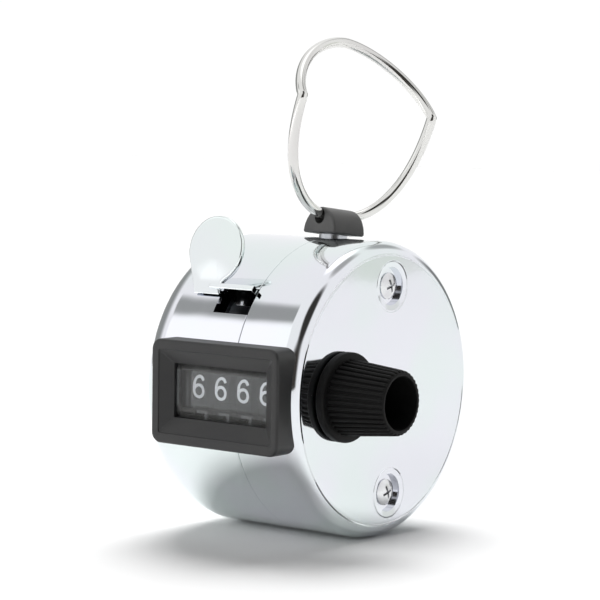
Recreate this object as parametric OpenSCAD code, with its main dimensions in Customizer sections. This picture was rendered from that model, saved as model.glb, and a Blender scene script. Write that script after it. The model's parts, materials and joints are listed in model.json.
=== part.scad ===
// Hand tally counter: chromed drum, four number wheels, thumb lever, reset knob, finger ring.
// X runs along the drum from its left end to the knob, the window faces -Y and Z is up.
// The origin is the centre of the left end, on the drum's axis.

/* [Drum] */
// Diameter of the drum
drum_d = 45; // [44:0.5:46]
// Width of the drum, end to end
drum_w = 30.6; // [30.4:0.1:31]
// Thickness of the pressed shells
wall = 0.7; // [0.5:0.1:0.8]
// Place of the seam between the two shells
seam_x = 19.3; // [19.2:0.1:19.6]
// Radius of the left shell's rounded edge
left_edge_r = 5.4; // [4:0.2:6]
// Radius of the right shell's rounded edge
right_edge_r = 2.5; // [2:0.1:2.5]

/* [Window] */
// Width of the bezel along the drum
bezel_w = 24.2; // [24:0.1:24.4]
// Height of the bezel
bezel_h = 15.6; // [15:0.1:16]
// How far the bezel stands out of the drum
bezel_proud = 2.4; // [2:0.1:3]
// Radius of the bezel's outer corners
bezel_corner_r = 1.6; // [1:0.1:2]

/* [Number wheels] */
// Radius of a number wheel
wheel_r = 8.8; // [8.7:0.05:8.9]
// Width of a number wheel's numeral band
band_w = 3.0; // [2.8:0.05:3.1]
// Distance from one wheel to the next
wheel_pitch = 4.32; // [4.3:0.01:4.36]

/* [Thumb lever] */
// Radius of the thumb pad
pad_r = 5.15; // [4.8:0.05:5.3]
// How far the pad leans back, in degrees
pad_lean = 11; // [9:0.5:12]
// Thickness of the lever's sheet
lever_t = 1.0; // [0.8:0.1:1]

/* [Reset knob] */
// Diameter of the knob's flange
flange_d = 13.4; // [12:0.1:14]
// Diameter of the grip at the flange
grip_d = 11.4; // [11:0.1:12]
// Diameter of the grip at its open end
tip_d = 9.6; // [9.4:0.1:10]
// Number of fine ribs round the grip
rib_count = 36; // [30:1:40]

/* [Finger ring] */
// Diameter of the ring's wire
wire_d = 1.6; // [1.4:0.1:1.8]
// Half the ring's width
ring_half_w = 12.6; // [11:0.1:14]
// Height of the ring's lower part, up to its bend
ring_low_h = 18; // [16:0.1:20]
// Height of the ring's upper part, beyond its bend
ring_top_h = 12.6; // [11:0.1:14]
// How far the ring leans towards the knob, in degrees
ring_lean = 18; // [10:1:25]
// Angle of the bend between the ring's two parts
ring_bend = 54.5; // [50:0.5:58]

/* [Hidden] */
$fn = 96;
eps = 0.01;
drum_r = drum_d / 2;
run_fit = 0.05;

// Pivots inside the drum, each as [y, z]
wheel_axis = [-10.7, 0];
lever_axis = [1, -0.8];
pinion_dist = 9.75;
pinion_dir = -75;
pinion_axis = wheel_axis + pinion_dist * [cos(pinion_dir), sin(pinion_dir)];
post_y = 1.4;
post_z = 15.7;

// Number wheels, from thousands to units
wheel_x = [for (i = [0:3]) 10.4 + i * wheel_pitch];
disc_w = 0.5;
shaft_r = 1.2;
ring_teeth = 20;
ring_root_r = 6.35;
ring_tip_r = 7.4;
pinion_teeth = 8;
pinion_root_r = 2.2;
pinion_tip_r = 3.25;
pinion_gap = 0.12;
pinion_shaft_r = 0.6;
carry_disc_r = 5.9;
carry_tooth_r = 6.25;
ratchet_teeth = 10;
ratchet_tip_r = 2.45;
ratchet_root_r = 1.75;
ratchet_x1 = wheel_x[3] + band_w / 2;
ratchet_x2 = ratchet_x1 + 1;
ratchet_face = 14;

// Frame plates that carry the works
plate_t = 0.8;
left_plate_x = 6.9;
right_plate_x = 27.2;
plate_outline = [[-15, -13.5], [-15, 4.5], [-3, 18.6], [5, 18.6], [11, 0], [5, -18.6], [-3, -18.6]];
tie_r = 1.2;
tie_front = [-12.6, -12.2];
tie_rear = [8, -4.5];
post_r = 2.2;
post_lift = 0.1;
thread_r = 0.95;
pivot_r = 1.0;

// Screw seats in the right end
seat_depth = 0.9;
seat_r = 2.9;
dish_r = 4;
dish_depth = 0.45;
boss_depth = 1.9;
screw_head_r = 2;
screw_head_h = 0.75;

// Bezel, lens and the opening behind them
bezel_mid = [17.8, 0.1];
bezel_front = -drum_r - bezel_proud;
aperture_x = [9.0, 26.7];
aperture_z = [-3.8, 4.3];
pocket_x = [7.1, 28.7];
pocket_z = [-6.1, 6.3];
aperture_y = -23.5;
plug_x = [7.4, 28.1];
plug_z = [-6.1, 6.3];
plug_y = -20.6;
lens_y = -22.4;
lens_t = 0.8;
lens_margin = 1;
lens_rise = 0.5;
lens_bevel = 0.9;

// Lever slot, as angles forward of the top
slot_x1 = 12.7;
slot_rear = 46.4;
slot_front = 58.2;
tongue_angle = 48.25;
tongue_x = [13.65, 19.15];
tongue_t = 0.8;
hover_r = drum_r + 0.35;
pad_at = [10.7, -16.55, 21];
neck_x = [-2.9, 1.9];
neck_bottom = -7.6;
hub_r = 1.9;
arm_x = [26.0, 26.8];
rivet_at = [-6.4, 4.9];
rivet_r = 0.5;
pawl_x = [25.0, 25.7];

// Reset knob
flange_x = drum_w + 0.25;
flange_t = 1.4;
tip_x = 41.5;
hollow_d = 7.9;
hollow_depth = 7;
rib_h = 0.35;
rib_stop = 0.3;
rib_w = 0.5;

// Ring block, turning on a bushing in the top of the drum
block_x = 17.8;
block_back = 8;
block_yaw = 75;
block_lift = 0.55;
block_r = 4;
block_len = 6;
hinge_h = 2.6;
bush_r = 2.2;
stem_r = 1.3;

// ---- helpers ----

function polar(r, a) = [-r * sin(a), r * cos(a)];
function toward(a) = [cos(a), sin(a)];

module at(p) {
    translate([0, p[0], p[1]]) children();
}

// Extrudes a [y, z] outline along X
module along_x(x1, x2) {
    translate([x1, 0, 0]) rotate([90, 0, 90]) linear_extrude(x2 - x1) children();
}

module rod(r, x1, x2) {
    translate([x1, 0, 0]) rotate([0, 90, 0]) cylinder(r = r, h = x2 - x1);
}

module box_of(x, y, z) {
    translate([x[0], y[0], z[0]]) cube([x[1] - x[0], y[1] - y[0], z[1] - z[0]]);
}

// A strip of sheet from one [y, z] point to another, with round ends
module strip(p, q, t) {
    d = q - p;
    n = [-d[1], d[0]] / norm(d) * t / 2;
    polygon([p + n, q + n, q - n, p - n]);
    translate(p) circle(t / 2);
    translate(q) circle(t / 2);
}

// Half outline of a cup, closed at axial 0
module cup_profile(r, depth, edge) {
    square([r - edge, depth]);
    translate([0, edge]) square([r, depth - edge]);
    translate([r - edge, edge]) circle(edge);
}

module cup(r, depth, edge) {
    rotate([0, 90, 0]) rotate_extrude() intersection() {
        difference() {
            cup_profile(r, depth, edge);
            translate([0, wall]) cup_profile(r - wall, depth, edge - wall);
        }
        square([r, depth]);
    }
}

module drum_solid() {
    rotate([0, 90, 0]) rotate_extrude() intersection() {
        cup_profile(drum_r, drum_w, left_edge_r);
        translate([0, drum_w]) mirror([0, 1]) cup_profile(drum_r, drum_w, right_edge_r);
    }
}

// Puts children on the ring block's seat: z out of the drum, x along the ring's hinge
module on_block() {
    translate([block_x, 0, 0]) rotate([-block_back, 0, 0]) translate([0, 0, drum_r]) rotate([0, 0, block_yaw]) children();
}

// Sweeps a round section along a list of points that lies close to a plane with normal n
function unit(v) = v / norm(v);
function path_dir(p, i) = unit(p[min(i + 1, len(p) - 1)] - p[max(i - 1, 0)]);
function ring_at(p, i, n, r, sides) =
    let (d = path_dir(p, i), u = unit(cross(d, n)), w = cross(u, d))
    [for (k = [0:sides - 1]) p[i] + r * (u * cos(360 * k / sides) + w * sin(360 * k / sides))];

module tube(p, n, r, sides) {
    points = [for (i = [0:len(p) - 1]) each ring_at(p, i, n, r, sides)];
    last = (len(p) - 1) * sides;
    sides_faces = [for (i = [0:len(p) - 2], k = [0:sides - 1])
        let (k2 = (k + 1) % sides)
        [i * sides + k, (i + 1) * sides + k, (i + 1) * sides + k2, i * sides + k2]];
    start_face = [for (k = [0:sides - 1]) k];
    end_face = [for (k = [sides - 1:-1:0]) last + k];
    polyhedron(points, concat(sides_faces, [start_face], [end_face]));
}

// Straight-sided gear teeth round a disc
module teeth(count, root_r, tip_r, root_half, tip_half, phase) {
    for (i = [0:count - 1])
        rotate(phase + i * 360 / count)
            polygon([[root_r - 0.3, -root_half], [tip_r, -tip_half], [tip_r, tip_half], [root_r - 0.3, root_half]]);
}

// ---- case ----

module screw_seat_boss(z) {
    at([post_y, z]) rod(dish_r + 0.6, drum_w - boss_depth, drum_w - wall / 2);
}

module screw_seat_cut(z) {
    ball_r = (dish_r * dish_r + dish_depth * dish_depth) / (2 * dish_depth);
    at([post_y, z]) {
        translate([drum_w - dish_depth + ball_r, 0, 0]) sphere(ball_r);
        rod(seat_r, drum_w - seat_depth, drum_w + 1);
        rod(1.1, drum_w - 3, drum_w);
    }
}

module window_opening() {
    gap = 0.1;
    box_of([plug_x[0] - gap, plug_x[1] + gap], [-drum_r - 1, -15], [plug_z[0] - gap, plug_z[1] + gap]);
}

module bushing_hole() {
    on_block() translate([0, 0, -4]) cylinder(r = bush_r, h = 6);
}

module left_shell() {
    color("silver") difference() {
        cup(drum_r, seam_x, left_edge_r);
        window_opening();
        bushing_hole();
        along_x(slot_x1, seam_x + 1)
            polygon([[0, 0], polar(40, slot_rear), polar(40, slot_front)]);
    }
}

module right_shell() {
    color("silver") difference() {
        union() {
            translate([drum_w, 0, 0]) mirror([1, 0, 0]) cup(drum_r, drum_w - seam_x, right_edge_r);
            screw_seat_boss(post_z);
            screw_seat_boss(-post_z);
        }
        window_opening();
        bushing_hole();
        screw_seat_cut(post_z);
        screw_seat_cut(-post_z);
        at(wheel_axis) rod(shaft_r + 0.3, drum_w - 2, drum_w + 1);
    }
}

module bezel_outline() {
    w = bezel_w - 2 * bezel_corner_r;
    h = bezel_h - 2 * bezel_corner_r;
    translate(bezel_mid) {
        square([bezel_w, h], center = true);
        square([w, bezel_h], center = true);
        for (sx = [-1, 1], sz = [-1, 1])
            translate([sx * w / 2, sz * h / 2]) circle(bezel_corner_r);
    }
}

// Sloping sides of the pocket round the aperture
module bezel_pocket() {
    y1 = bezel_front - eps;
    y2 = aperture_y;
    intersection() {
        along_x(0, drum_w)
            polygon([[y1, pocket_z[0]], [y1, pocket_z[1]], [y2, aperture_z[1]], [y2, aperture_z[0]]]);
        translate([0, 0, -bezel_h]) linear_extrude(2 * bezel_h)
            polygon([[pocket_x[0], y1], [pocket_x[1], y1], [aperture_x[1], y2], [aperture_x[0], y2]]);
    }
}

module window_bezel() {
    color([0.08, 0.08, 0.09]) difference() {
        union() {
            difference() {
                translate([0, -18, 0]) rotate([90, 0, 0]) linear_extrude(-18 - bezel_front) bezel_outline();
                drum_solid();
            }
            box_of(plug_x, [-23, plug_y], plug_z);
        }
        bezel_pocket();
        box_of(aperture_x, [-26, -15], aperture_z);
        box_of([aperture_x[0] - lens_margin, aperture_x[1] + lens_margin], [lens_y, -15],
            [aperture_z[0] - lens_margin, aperture_z[1] + lens_margin]);
    }
}

module window_lens() {
    slack = 0.05;
    low = aperture_z[0] + slack;
    high = aperture_z[1] - slack;
    brim = lens_margin - 2 * slack;
    color([0.85, 0.88, 0.9, 0.4]) {
        along_x(aperture_x[0] - brim, aperture_x[1] + brim)
            polygon([[lens_y, low - brim], [lens_y, high + brim], [lens_y + lens_t, high + brim], [lens_y + lens_t, low - brim]]);
        along_x(aperture_x[0] + slack, aperture_x[1] - slack)
            polygon([[lens_y + lens_t / 2, low], [lens_y, low], [lens_y - lens_rise, low + lens_bevel],
                [lens_y - lens_rise, high - lens_bevel], [lens_y, high], [lens_y + lens_t / 2, high]]);
    }
}

// ---- frame ----

module frame_plate(x) {
    color("lightsteelblue") difference() {
        along_x(x, x + plate_t) polygon(plate_outline);
        at(wheel_axis) rod(shaft_r + run_fit, x - 1, x + 2);
        at(lever_axis) rod(pivot_r, x - 1, x + 2);
        at(pinion_axis) rod(pinion_shaft_r, x - 1, x + 2);
        at([post_y, post_z]) rod(post_r, x - 1, x + 2);
        at([post_y, -post_z]) rod(post_r, x - 1, x + 2);
    }
}

module left_frame_plate() {
    frame_plate(left_plate_x);
}

module right_frame_plate() {
    frame_plate(right_plate_x);
}

module frame_tie(p) {
    color("lightsteelblue") at(p) rod(tie_r, left_plate_x + plate_t, right_plate_x);
}

module frame_tie_front() {
    frame_tie(tie_front);
}

module frame_tie_rear() {
    frame_tie(tie_rear);
}

module case_post(z) {
    x2 = drum_w - boss_depth;
    color("gray") at([post_y, z]) difference() {
        rod(post_r, wall + post_lift, x2);
        rod(thread_r, x2 - 8, x2 + 1);
    }
}

module case_post_upper() {
    case_post(post_z);
}

module case_post_lower() {
    case_post(-post_z);
}

// Dome-headed screw with a cross recess
module case_screw(z) {
    seat_x = drum_w - seat_depth;
    ball_r = (screw_head_r * screw_head_r + screw_head_h * screw_head_h) / (2 * screw_head_h);
    color("silver") at([post_y, z]) difference() {
        union() {
            translate([seat_x, 0, 0]) rotate([0, 90, 0]) rotate_extrude() intersection() {
                translate([0, screw_head_h - ball_r]) circle(ball_r);
                square([screw_head_r, screw_head_h]);
            }
            rod(thread_r - run_fit, seat_x - 8, seat_x);
        }
        for (turn = [20, 110])
            translate([seat_x + 0.3, 0, 0]) rotate([turn, 0, 0]) box_of([0, 1], [-1.15, 1.15], [-0.22, 0.22]);
    }
}

module case_screw_upper() {
    case_screw(post_z);
}

module case_screw_lower() {
    case_screw(-post_z);
}

module lever_pivot_pin() {
    color("gray") at(lever_axis) rod(pivot_r, left_plate_x, right_plate_x + plate_t);
}

// Torsion spring round the pivot pin: the rear leg bears on the upper post, and the
// front leg stands where the lever's stem meets it at full press
module lever_return_spring() {
    coil_r = 1.55;
    wire_r = 0.22;
    turns = 5.5;
    steps = 16;
    coil_pitch = 0.62;
    x1 = 8.6;
    x2 = x1 + turns * coil_pitch;
    y = lever_axis[0];
    z = lever_axis[1];
    coil = [for (i = [0:turns * steps])
        let (a = -360 * i / steps)
        [x1 + coil_pitch * i / steps, y + coil_r * cos(a), z + coil_r * sin(a)]];
    rear_leg = [[x1, post_y + post_r + 0.35, post_z + 1], [x1, y + coil_r + 0.3, z + 4]];
    front_leg = [[x2, y - coil_r - 0.2, z + 2], [x2, y - 2.6, z + 7], [x2 + 3.5, y - 2.6, z + 7.4]];
    color("darkgray") tube(concat(rear_leg, coil, front_leg), [1, 0, 0.02], wire_r, 8);
}

// Leaf that keeps the ratchet from turning back
module check_spring() {
    leaf_t = 0.25;
    foot = tie_front + [0, tie_r + leaf_t / 2];
    tip = wheel_axis + [-0.4, -2.75];
    up = [-(tip - foot)[1], (tip - foot)[0]] / norm(tip - foot) * leaf_t / 2;
    color("darkgray") along_x(25.05, 25.7) polygon([foot + up, foot - up, tip - up, tip + up]);
}

module pinion_shaft() {
    color("gray") at(pinion_axis) rod(pinion_shaft_r, left_plate_x, right_plate_x + plate_t);
}

module swivel_bushing() {
    color("silver") on_block() translate([0, 0, -1.6]) difference() {
        cylinder(r = bush_r, h = 2.05);
        translate([0, 0, -1]) cylinder(r = stem_r + run_fit, h = 4);
    }
}

// ---- number wheels ----

// A numeral wheel with the 20-tooth ring on its right and the carry disc on its left
module number_wheel(i) {
    x = wheel_x[i];
    color([0.12, 0.12, 0.13]) at(wheel_axis) difference() {
        union() {
            rod(wheel_r, x - band_w / 2, x + band_w / 2);
            if (i < 3)
                along_x(x + band_w / 2 - eps, x + band_w / 2 + disc_w) {
                    circle(ring_root_r);
                    teeth(ring_teeth, ring_root_r, ring_tip_r, 0.52, 0.26, pinion_dir + 180 / ring_teeth);
                }
            if (i > 0)
                along_x(x - band_w / 2 - disc_w, x - band_w / 2 + eps) {
                    circle(carry_disc_r);
                    teeth(2, carry_disc_r, carry_tooth_r, 0.5, 0.3, 60);
                }
        }
        rod(shaft_r + run_fit, x - 3, x + 3);
    }
}

module thousands_wheel() {
    number_wheel(0);
}

module hundreds_wheel() {
    number_wheel(1);
}

module tens_wheel() {
    number_wheel(2);
}

module units_wheel() {
    number_wheel(3);
}

// Ten saw teeth whose steep faces look up at the back of the wheel
module ratchet_wheel() {
    step = 360 / ratchet_teeth;
    color("goldenrod") at(wheel_axis) difference() {
        along_x(ratchet_x1, ratchet_x2)
            polygon([for (i = [0:ratchet_teeth - 1], tip = [0, 1])
                let (a = ratchet_face + i * step)
                tip == 0 ? ratchet_tip_r * toward(a) : ratchet_root_r * toward(a + 1)]);
        rod(shaft_r + run_fit, ratchet_x1 - 1, ratchet_x2 + 1);
    }
}

// Small pinion between two wheels, meshing with the left one's ring
module transfer_pinion(i) {
    x1 = wheel_x[i] + band_w / 2 + pinion_gap;
    x2 = wheel_x[i + 1] - band_w / 2 - pinion_gap;
    color("ivory") at(pinion_axis) difference() {
        along_x(x1, x2) {
            circle(pinion_root_r);
            teeth(pinion_teeth, pinion_root_r, pinion_tip_r, 0.5, 0.25, pinion_dir + 180);
        }
        rod(pinion_shaft_r + run_fit, x1 - 1, x2 + 1);
    }
}

module thousands_pinion() {
    transfer_pinion(0);
}

module hundreds_pinion() {
    transfer_pinion(1);
}

module tens_pinion() {
    transfer_pinion(2);
}

// ---- thumb lever and pawl ----

// Front view of the pad and its neck, about the pad's centre
module pad_outline() {
    fillet_r = 1.5;
    fillet_x = neck_x[1] + fillet_r;
    fillet_y = -sqrt(pow(pad_r + fillet_r, 2) - fillet_x * fillet_x);
    meet = [fillet_x, fillet_y] * pad_r / (pad_r + fillet_r);
    circle(pad_r);
    polygon([pad_r * toward(194), [neck_x[0], neck_bottom], [neck_x[1], neck_bottom], [neck_x[1], 0]]);
    difference() {
        polygon([[neck_x[1] - 0.5, fillet_y], [fillet_x, fillet_y], meet, [neck_x[1] - 0.5, -pad_r / 2]]);
        translate([fillet_x, fillet_y]) circle(fillet_r);
    }
}

module pad_sheet() {
    dish_ball = 42;
    dish = 0.28;
    translate(pad_at) rotate([90 - pad_lean, 0, 0]) difference() {
        translate([0, 0, -lever_t]) linear_extrude(lever_t) pad_outline();
        translate([0, 0, dish_ball - dish]) sphere(dish_ball);
    }
}

module lever_shoulder() {
    half = 1.15;
    a = tongue_angle + half;
    b = tongue_angle - half;
    along_x(pad_at[0], tongue_x[1])
        polygon([polar(hover_r, a), polar(hover_r + 0.9, a), polar(hover_r + 0.9, b), polar(hover_r, b)]);
}

module lever_stem() {
    inner = polar(19.6, tongue_angle);
    back = [-0.4, 12.2];
    along_x(tongue_x[0], tongue_x[1]) {
        strip(polar(hover_r + 0.4, tongue_angle), inner, tongue_t);
        strip(inner, back, tongue_t);
        strip(back, lever_axis, tongue_t);
    }
}

module thumb_lever() {
    color("silver") difference() {
        union() {
            difference() {
                pad_sheet();
                rod(hover_r, 0, drum_w);
            }
            lever_shoulder();
            lever_stem();
            at(lever_axis) rod(hub_r, tongue_x[0], arm_x[1]);
            along_x(arm_x[0], arm_x[1]) strip(lever_axis, rivet_at, 2.4);
        }
        at(lever_axis) rod(pivot_r + run_fit, 0, drum_w);
        at(rivet_at) rod(rivet_r, arm_x[0] - 1, arm_x[1] + 1);
    }
}

module pawl_rivet() {
    color("gray") at(rivet_at) {
        rod(rivet_r, pawl_x[0], arm_x[1] + 0.1);
        rod(0.9, arm_x[1], arm_x[1] + 0.2);
    }
}

// The pawl's tip rests just above a ratchet tooth's steep face
module drive_pawl() {
    tip_in = wheel_axis + 2.22 * toward(ratchet_face + 4);
    tip_out = wheel_axis + 3.3 * toward(ratchet_face + 2);
    tip_back = wheel_axis + 3.6 * toward(ratchet_face + 22);
    color("goldenrod") difference() {
        along_x(pawl_x[0], pawl_x[1]) {
            translate(rivet_at) circle(1.1);
            polygon([tip_in, tip_out, rivet_at + [1, -0.4], rivet_at + [-1, 0.3], tip_back]);
        }
        at(rivet_at) rod(rivet_r + run_fit, pawl_x[0] - 1, pawl_x[1] + 1);
    }
}

// ---- reset knob and shaft ----

module reset_shaft() {
    color("gray") at(wheel_axis) rod(shaft_r, left_plate_x - 0.4, flange_x + 2);
}

module shaft_clip() {
    color("darkgray") at(wheel_axis) difference() {
        rod(2.4, right_plate_x + plate_t + 0.15, right_plate_x + plate_t + 0.65);
        rod(shaft_r, 0, drum_w);
        box_of([0, drum_w], [-0.8, 0.8], [0, 4]);
    }
}

module reset_knob() {
    grip_x = flange_x + flange_t;
    grip_len = tip_x - grip_x;
    slope = atan((grip_d - tip_d) / 2 / grip_len);
    color([0.08, 0.08, 0.09]) at(wheel_axis) difference() {
        union() {
            rod(flange_d / 2, flange_x, grip_x);
            translate([grip_x - eps, 0, 0]) rotate([0, 90, 0])
                cylinder(r1 = grip_d / 2 - rib_h, r2 = tip_d / 2 - rib_h, h = grip_len + eps);
            for (i = [0:rib_count - 1])
                rotate([i * 360 / rib_count, 0, 0])
                    translate([grip_x - eps, 0, grip_d / 2]) rotate([0, slope, 0])
                        box_of([0, grip_len - rib_stop], [-rib_w / 2, rib_w / 2], [-2 * rib_h, 0]);
        }
        rod(hollow_d / 2, tip_x - hollow_depth, tip_x + 1);
        rod(shaft_r, flange_x - 1, flange_x + 2);
    }
}

// ---- ring block and finger ring ----

module ring_block() {
    color([0.1, 0.1, 0.11]) on_block() translate([0, 0, block_lift]) difference() {
        intersection() {
            translate([-block_len / 2, 0, 0]) rotate([0, 90, 0]) cylinder(r = block_r, h = block_len);
            translate([-block_len, -block_r, 0]) cube([2 * block_len, 2 * block_r, block_r]);
        }
        translate([-block_len, 0, hinge_h]) rotate([0, 90, 0]) cylinder(r = wire_d / 2 + run_fit, h = 2 * block_len);
        for (mouth_x = [1.3, -1.3 - block_len])
            translate([mouth_x, 0, hinge_h]) rotate([0, 90, 0]) cylinder(r = 1.25, h = block_len);
        translate([0, 0, -1]) cylinder(r = stem_r, h = 2);
    }
}

module ring_stem() {
    color("gray") on_block() translate([0, 0, -2.6]) cylinder(r = stem_r, h = block_lift + 3.6);
}

module ring_retainer() {
    color("darkgray") on_block() translate([0, 0, -2.3]) difference() {
        cylinder(r = 2.4, h = 0.6);
        translate([0, 0, -1]) cylinder(r = stem_r, h = 3);
    }
}

// The ring lies in two planes that meet at the bend; both halves are rounded bows
low_power = 2 / 2.2;
top_power = 2 / 1.7;
function lean_dir(a) = [0, -sin(a), cos(a)];
function low_point(t) = let (side = sign(t), a = abs(t))
    [side * ring_half_w * pow(sin(a), low_power), 0, 0] + ring_low_h * (1 - pow(cos(a), low_power)) * lean_dir(ring_lean);
function top_point(t) = let (side = sign(cos(t)))
    [side * ring_half_w * pow(abs(cos(t)), top_power), 0, 0] + ring_low_h * lean_dir(ring_lean)
    + ring_top_h * pow(sin(t), top_power) * lean_dir(ring_lean - ring_bend);

module finger_ring() {
    first = 11;
    low_steps = 20;
    top_steps = 30;
    start = [for (i = [0:low_steps - 1]) low_point(first + (90 - first) * i / low_steps)];
    top = [for (i = [0:top_steps]) top_point(180 * i / top_steps)];
    finish = [for (i = [low_steps - 1:-1:0]) low_point(-first - (90 - first) * i / low_steps)];
    color("silver") on_block() translate([0, 0, block_lift + hinge_h]) {
        tube(concat([[1.2, 0, 0]], start, top, finish, [[-1.2, 0, 0]]), [0, 1, 0], wire_d / 2, 12);
    }
}

left_shell();
right_shell();
window_bezel();
window_lens();
left_frame_plate();
right_frame_plate();
frame_tie_front();
frame_tie_rear();
case_post_upper();
case_post_lower();
case_screw_upper();
case_screw_lower();
lever_pivot_pin();
lever_return_spring();
check_spring();
pinion_shaft();
swivel_bushing();
thousands_wheel();
hundreds_wheel();
tens_wheel();
units_wheel();
ratchet_wheel();
thousands_pinion();
hundreds_pinion();
tens_pinion();
thumb_lever();
pawl_rivet();
drive_pawl();
reset_shaft();
shaft_clip();
reset_knob();
ring_block();
ring_stem();
ring_retainer();
finger_ring();
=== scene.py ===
import math

import bmesh
import bpy
from mathutils import Matrix, Vector
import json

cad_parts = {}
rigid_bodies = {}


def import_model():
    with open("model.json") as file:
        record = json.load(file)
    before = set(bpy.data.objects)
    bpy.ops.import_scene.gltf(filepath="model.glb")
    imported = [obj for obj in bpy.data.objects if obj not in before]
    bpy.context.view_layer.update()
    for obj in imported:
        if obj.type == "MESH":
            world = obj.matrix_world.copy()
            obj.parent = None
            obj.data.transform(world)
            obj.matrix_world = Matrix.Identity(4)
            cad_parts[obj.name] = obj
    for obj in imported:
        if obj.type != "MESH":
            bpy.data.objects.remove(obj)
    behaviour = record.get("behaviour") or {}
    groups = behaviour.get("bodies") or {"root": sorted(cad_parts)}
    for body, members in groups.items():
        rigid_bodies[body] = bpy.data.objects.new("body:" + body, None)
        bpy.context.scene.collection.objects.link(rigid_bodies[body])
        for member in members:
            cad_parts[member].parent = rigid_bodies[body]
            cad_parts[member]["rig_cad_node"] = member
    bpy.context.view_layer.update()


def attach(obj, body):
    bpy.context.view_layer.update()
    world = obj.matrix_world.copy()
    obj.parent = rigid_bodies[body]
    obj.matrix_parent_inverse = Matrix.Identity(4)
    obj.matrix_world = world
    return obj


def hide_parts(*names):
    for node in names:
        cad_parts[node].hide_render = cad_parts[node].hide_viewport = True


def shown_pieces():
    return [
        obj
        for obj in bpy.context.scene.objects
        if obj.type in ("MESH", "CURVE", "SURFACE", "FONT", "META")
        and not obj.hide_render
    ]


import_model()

# ---- sizes, in millimetres, X along the drum to the knob, window towards -Y, Z up ----

MM = 0.001
DRUM_R = 22.5
DRUM_W = 30.6
WALL = 0.7
SEAM_X = 19.3
LEFT_EDGE_R = 5.4
RIGHT_EDGE_R = 2.5
WHEEL_AXIS = (-10.7, 0.0)
WHEEL_R = 8.8
WHEEL_X = (10.4, 14.72, 19.04, 23.36)
WINDOW = (7.4, 28.1, -6.1, 6.3)
BEZEL = (5.7, 29.9, -7.7, 7.9)
POCKET = (7.1, 28.7, -6.1, 6.3)
APERTURE = (9.0, 26.7, -3.8, 4.3)
BEZEL_Y = -24.9
APERTURE_Y = -23.5
LENS_Y = -22.4
PLUG_Y = -20.6
SCREW_Y = 1.4
SCREW_Z = 15.7
SEAT_R = 2.9
SEAT_DEPTH = 0.9
DISH_R = 4.4
DISH_DEPTH = 0.45
SCREW_HOLE_R = 1.1
SLOT_TOP, SLOT_BOTTOM = 46.4, 58.2
SLOT_X = 12.7
SHAFT_HOLE_R = 1.5
BUSHING_R = 2.2
HOVER_R = DRUM_R + 0.35


# ---- materials ----


class Field:
    """A number or colour that varies over a surface."""

    def __init__(self, paint, socket):
        self.paint = paint
        self.socket = socket

    def maths(self, operation, *others):
        return self.paint.node("ShaderNodeMath", dict(enumerate((self, *others))), operation=operation)

    def __add__(self, other):
        return self.maths("ADD", other)

    def __mul__(self, other):
        return self.maths("MULTIPLY", other)

    def __sub__(self, other):
        return self.maths("SUBTRACT", other)

    def __rsub__(self, other):
        return self * -1.0 + other

    __radd__ = __add__
    __rmul__ = __mul__

    def step(self, low, high):
        """0 below low, 1 above high, smooth between."""
        sockets = {"Value": self, "From Min": low, "From Max": high}
        return self.paint.node("ShaderNodeMapRange", sockets, interpolation_type="SMOOTHSTEP")


class Paint:
    """The node tree of one material or surround, laid out on the object's own coordinates."""

    def __init__(self, name, owners=bpy.data.materials, place="Object"):
        self.owner = owners.new(name)
        self.owner.use_nodes = True
        self.tree = self.owner.node_tree
        self.tree.nodes.clear()
        self.place = self.node("ShaderNodeTexCoord", {}, place)

    def node(self, kind, sockets, out=0, **settings):
        made = self.tree.nodes.new(kind)
        for key, value in settings.items():
            setattr(made, key, value)
        for key, value in sockets.items():
            if isinstance(value, Field):
                self.tree.links.new(value.socket, made.inputs[key])
            else:
                made.inputs[key].default_value = value
        return None if out is None else Field(self, made.outputs[out])

    def noise(self, scale, detail=3.0, stretch=(1, 1, 1)):
        """Cloudy values round 0.5; scale is in features per metre."""
        where = self.node("ShaderNodeVectorMath", {0: self.place, 1: stretch}, operation="MULTIPLY")
        return self.node("ShaderNodeTexNoise", {"Vector": where, "Scale": scale, "Detail": detail})

    def axis(self, name):
        return self.node("ShaderNodeSeparateXYZ", {0: self.place}, name)

    def mix(self, amount, one, two):
        """Colour one where amount is 0, two where it is 1."""
        return self.node("ShaderNodeMix", {0: amount, 6: one, 7: two}, 2, data_type="RGBA")

    def bump(self, height, depth_mm, strength=1.0):
        sockets = {"Height": height, "Distance": depth_mm * MM, "Strength": strength}
        return self.node("ShaderNodeBump", sockets)

    def surface(self, shader, kind="ShaderNodeOutputMaterial"):
        self.node(kind, {"Surface": shader}, None)
        return self.owner

    def solid(self, sockets):
        return self.surface(self.node("ShaderNodeBsdfPrincipled", sockets))


CROWN_PER_M = 1.25


def plated(name, light, dull, rough, wear=0.3, scale=60, wave_mm=0.02, crown_x=None):
    """Bright plating: cloudy tint, faint rub marks, slightly wavy; past crown_x it is faintly domed."""
    p = Paint(name)
    cloud = p.noise(scale, 2.0)
    rubbed = p.noise(900, 4.0, (0.15, 1, 1)).step(0.55, 0.8)
    normal = p.bump(p.noise(110, 1.0), wave_mm)
    if crown_x:
        y, z = p.axis("Y"), p.axis("Z")
        crown = (y * y + z * z) * p.axis("X").step(crown_x - 0.05 * MM, crown_x) * -CROWN_PER_M
        normal = p.node("ShaderNodeBump", {"Height": crown, "Distance": 1.0, "Normal": normal})
    return p.solid({
        "Base Color": p.mix(cloud.step(0.35, 0.65), light, dull),
        "Metallic": 1.0,
        "Roughness": rough + rubbed * (rough * wear) + cloud * 0.02,
        "Normal": normal,
    })


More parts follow.
